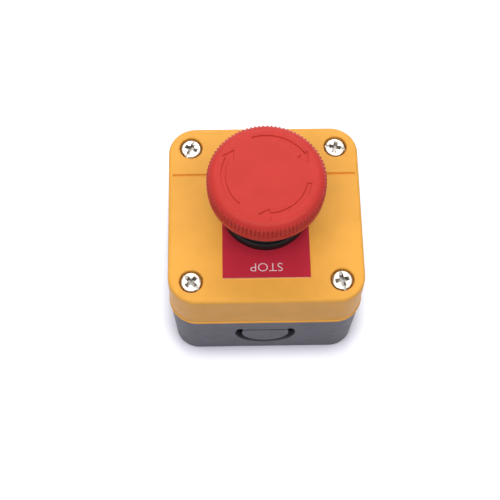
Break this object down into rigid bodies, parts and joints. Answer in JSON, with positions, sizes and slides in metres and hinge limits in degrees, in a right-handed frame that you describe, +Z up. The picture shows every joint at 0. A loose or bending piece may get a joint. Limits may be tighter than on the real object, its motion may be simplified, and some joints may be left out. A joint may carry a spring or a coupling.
{
  "type": "emergency stop push button",
  "caption": "Surface-mounted box with a latching mushroom push button that slides in, twists to release and drives a normally closed and a normally open contact block.",
  "frame": {"origin": "centre of the box's underside", "axes": "+Z up along the button's axis, +X along the label's width, +Y away from the lettered end of the label"},
  "size_m": [0.068, 0.068, 0.0755],
  "materials": {
    "yellow_shell": "fine moulded yellow plastic",
    "grey_shell": "fine moulded dark grey plastic",
    "red_cap": "satin red plastic",
    "red_label": "satin dark red laminated plastic",
    "black_collar": "satin black plastic",
    "black_inner": "plain black plastic",
    "pale_inner": "plain off-white plastic",
    "seal_rubber": "soft black rubber",
    "plated_steel": "bright zinc plate",
    "spring_steel": "drawn spring wire",
    "contact_brass": "bright brass"
  },
  "bodies": {
    "root": {"base": "grey_shell", "cover": "yellow_shell", "cover_gasket": "seal_rubber", "cover_screws": "plated_steel", "label_plate": "red_label", "bezel_bushing": "black_collar", "bezel_gasket": "seal_rubber", "lock_nut": "black_inner", "contact_holder": "black_inner", "holder_screw": "plated_steel", "block_screws": "plated_steel", "nc_housing": "black_inner", "nc_side_plate": "pale_inner", "nc_contacts": "contact_brass", "nc_terminal_screws": "plated_steel", "nc_wire_clamps": "plated_steel", "no_housing": "black_inner", "no_side_plate": "pale_inner", "no_contacts": "contact_brass", "no_terminal_screws": "plated_steel", "no_wire_clamps": "plated_steel"},
    "pusher": {"push_plate": "pale_inner", "return_spring": "spring_steel"},
    "head": {"mushroom_cap": "red_cap", "plunger_shaft": "black_inner", "retaining_clip": "spring_steel", "latch_spring": "spring_steel"},
    "latch_right": {"latch_pin_right": "plated_steel"},
    "latch_left": {"latch_pin_left": "plated_steel"},
    "nc_contact": {"nc_bridge": "contact_brass", "nc_plunger": "pale_inner", "nc_spring": "spring_steel"},
    "no_contact": {"no_bridge": "contact_brass", "no_plunger": "pale_inner", "no_spring": "spring_steel"}
  },
  "joints": [
    {"name": "head_push", "type": "slide", "parent": "root", "child": "pusher", "axis": [0, 0, -1], "range_m": [0, 0.005], "stiffness_N_per_m": 2500, "springref_m": -0.002, "deforming": ["return_spring"]},
    {"name": "head_twist", "type": "hinge", "parent": "pusher", "child": "head", "pos_m": [0, 0, 0.07], "axis": [0, 0, -1], "range_deg": [0, 45], "stiffness_Nm_per_rad": 0.06, "springref_deg": -11.46},
    {"name": "latch_slide_right", "type": "slide", "parent": "head", "child": "latch_right", "axis": [-1, 0, 0], "range_m": [0, 0.001], "deforming": ["latch_spring"]},
    {"name": "latch_slide_left", "type": "slide", "parent": "head", "child": "latch_left", "axis": [1, 0, 0], "range_m": [0, 0.001]},
    {"name": "nc_contact_slide", "type": "slide", "parent": "root", "child": "nc_contact", "axis": [0, 0, -1], "range_m": [0, 0.005], "deforming": ["nc_spring"]},
    {"name": "no_contact_slide", "type": "slide", "parent": "root", "child": "no_contact", "axis": [0, 0, -1], "range_m": [0, 0.005], "deforming": ["no_spring"]}
  ],
  "couplings": [
    {"joint": "latch_slide_right", "follows": "head_push", "ratio": 0.2},
    {"joint": "latch_slide_left", "follows": "head_push", "ratio": 0.2},
    {"joint": "nc_contact_slide", "follows": "head_push", "ratio": 1},
    {"joint": "no_contact_slide", "follows": "head_push", "ratio": 1}
  ]
}
